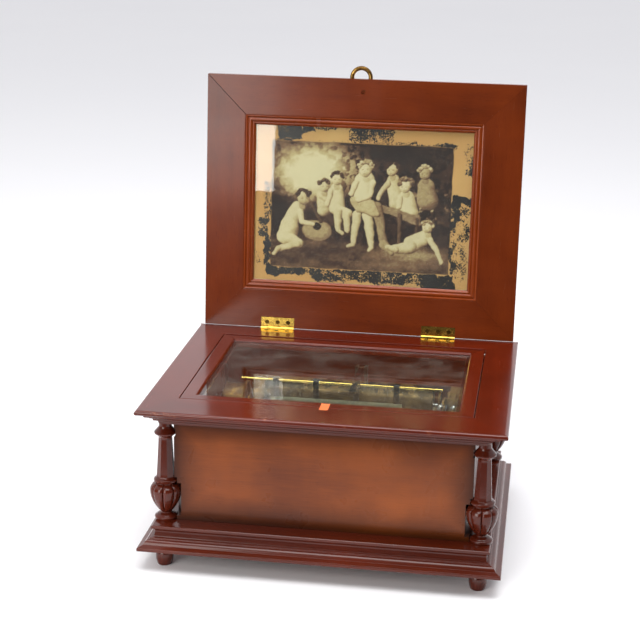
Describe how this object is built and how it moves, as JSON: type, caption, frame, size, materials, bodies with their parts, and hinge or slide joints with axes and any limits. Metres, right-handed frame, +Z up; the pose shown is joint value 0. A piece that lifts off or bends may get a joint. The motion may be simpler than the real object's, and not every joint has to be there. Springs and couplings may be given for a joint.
{
  "type": "cylinder music box",
  "caption": "Column-cornered wooden music box with a picture lid, a glazed inner lid and a pinned-cylinder movement with comb, spring barrel, governor and zither.",
  "frame": {"origin": "on the floor, under the middle of the box as it stands with its lid open", "axes": "+X the box's right, +Y its back, where the lid is hinged, +Z up"},
  "size_m": [0.48, 0.4379, 0.6197],
  "materials": {
    "case_wood": "polished mahogany",
    "panel_veneer": "polished mahogany veneer",
    "top_wood": "polished mahogany, worn edges",
    "lid_wood": "polished mahogany",
    "lid_back": "polished mahogany veneer",
    "moulding_wood": "polished moulding",
    "print_paper": "aged paper print",
    "glass": "clear glass",
    "hinge_brass": "polished brass",
    "movement_brass": "lacquered brass",
    "cylinder_brass": "brass, pinned and dull",
    "steel": "satin steel",
    "blued_steel": "blued steel",
    "iron": "japanned cast iron",
    "bearer_wood": "plain pine",
    "roll_cloth": "tissue roll in green cloth"
  },
  "bodies": {
    "case": {"bottom_board": "case_wood", "plinth": "case_wood", "feet": "case_wood", "front_panel": "panel_veneer", "back_panel": "case_wood", "left_panel": "case_wood", "right_panel": "case_wood", "column_front_left": "case_wood", "column_front_right": "case_wood", "column_back_left": "case_wood", "column_back_right": "case_wood", "cornice": "case_wood", "top_frame": "top_wood", "bearers": "bearer_wood", "bedplate": "iron", "bedplate_screws": "steel", "comb_base": "movement_brass", "comb": "steel", "comb_screws": "blued_steel", "cylinder_bearings": "movement_brass", "barrel_stand": "movement_brass", "governor_frame": "movement_brass", "zither_bracket": "blued_steel", "lever_bracket": "movement_brass", "lid_hinge_fixed_leaves": "hinge_brass", "lid_hinge_fixed_screws": "hinge_brass", "glass_lid_pivots": "steel", "lid_hinge_pins": "hinge_brass"},
    "picture_lid": {"lid_frame": "lid_wood", "lid_board": "lid_back", "picture_moulding": "moulding_wood", "picture_print": "print_paper", "picture_glass": "glass", "lid_loop": "hinge_brass", "loop_screw": "hinge_brass", "lid_hinge_moving_leaves": "hinge_brass", "lid_hinge_moving_screws": "hinge_brass"},
    "glass_lid": {"glass_lid_frame": "top_wood", "glass_pane": "glass"},
    "arbor": {"cylinder_arbor": "steel", "governor_wheel": "movement_brass", "tune_snail": "movement_brass"},
    "cylinder": {"music_cylinder": "cylinder_brass"},
    "barrel": {"spring_barrel": "movement_brass", "barrel_cover": "movement_brass", "great_wheel": "movement_brass", "mainspring": "steel"},
    "winding_shaft": {"winding_arbor": "steel", "ratchet_wheel": "steel"},
    "winding_handle": {"winding_lever": "steel"},
    "ratchet_click": {"click": "steel"},
    "governor": {"governor_arbor": "steel", "worm_wheel": "movement_brass"},
    "fly": {"fly_screw": "steel", "fly_fan": "movement_brass"},
    "zither": {"zither_rail": "movement_brass", "zither_hangers": "blued_steel", "zither_roll": "roll_cloth"},
    "start_stop": {"play_lever": "movement_brass"},
    "repeat_change": {"change_lever": "movement_brass"}
  },
  "joints": [
    {"name": "lid_hinge", "type": "hinge", "parent": "case", "child": "picture_lid", "pos_m": [0, 0.17064, 0.2265], "axis": [-1, 0, 0], "range_deg": [-94.3, 0]},
    {"name": "glass_lid_hinge", "type": "hinge", "parent": "case", "child": "glass_lid", "pos_m": [0, 0.12294, 0.2195], "axis": [-1, 0, 0], "range_deg": [0, 95]},
    {"name": "cylinder_spin", "type": "hinge", "parent": "case", "child": "arbor", "pos_m": [0, 0.05464, 0.16], "axis": [1, 0, 0], "continuous": true},
    {"name": "tune_shift", "type": "slide", "parent": "arbor", "child": "cylinder", "axis": [1, 0, 0], "range_m": [0, 0.0024]},
    {"name": "barrel_spin", "type": "hinge", "parent": "case", "child": "barrel", "pos_m": [0, 0.01864, 0.16], "axis": [1, 0, 0], "continuous": true},
    {"name": "governor_spin", "type": "hinge", "parent": "case", "child": "governor", "pos_m": [0, 0.02584, 0.16], "axis": [1, 0, 0], "continuous": true},
    {"name": "fly_spin", "type": "hinge", "parent": "case", "child": "fly", "pos_m": [0.1555, 0.01474, 0.16], "axis": [0, 0, 1], "continuous": true},
    {"name": "winding_lever_swing", "type": "hinge", "parent": "case", "child": "winding_handle", "pos_m": [0, 0.01864, 0.16], "axis": [-1, 0, 0], "range_deg": [0, 48]},
    {"name": "winding_shaft_turn", "type": "hinge", "parent": "case", "child": "winding_shaft", "pos_m": [0, 0.01864, 0.16], "axis": [-1, 0, 0], "range_deg": [0, 48]},
    {"name": "click_lift", "type": "hinge", "parent": "case", "child": "ratchet_click", "pos_m": [0, 0.03465, 0.168], "axis": [-1, 0, 0], "range_deg": [0, 15]},
    {"name": "zither_lift", "type": "hinge", "parent": "case", "child": "zither", "pos_m": [0, 0.08865, 0.1972], "axis": [-1, 0, 0], "range_deg": [0, 5]},
    {"name": "play_lever_throw", "type": "hinge", "parent": "case", "child": "start_stop", "pos_m": [0, -0.03535, 0.136], "axis": [1, 0, 0], "range_deg": [0, 20]},
    {"name": "change_lever_throw", "type": "hinge", "parent": "case", "child": "repeat_change", "pos_m": [0, -0.03535, 0.136], "axis": [1, 0, 0], "range_deg": [0, 20]}
  ],
  "couplings": [
    {"joint": "barrel_spin", "follows": "cylinder_spin", "ratio": -0.2},
    {"joint": "governor_spin", "follows": "cylinder_spin", "ratio": -5},
    {"joint": "fly_spin", "follows": "cylinder_spin", "ratio": -50},
    {"joint": "winding_shaft_turn", "follows": "winding_lever_swing", "ratio": 1}
  ]
}
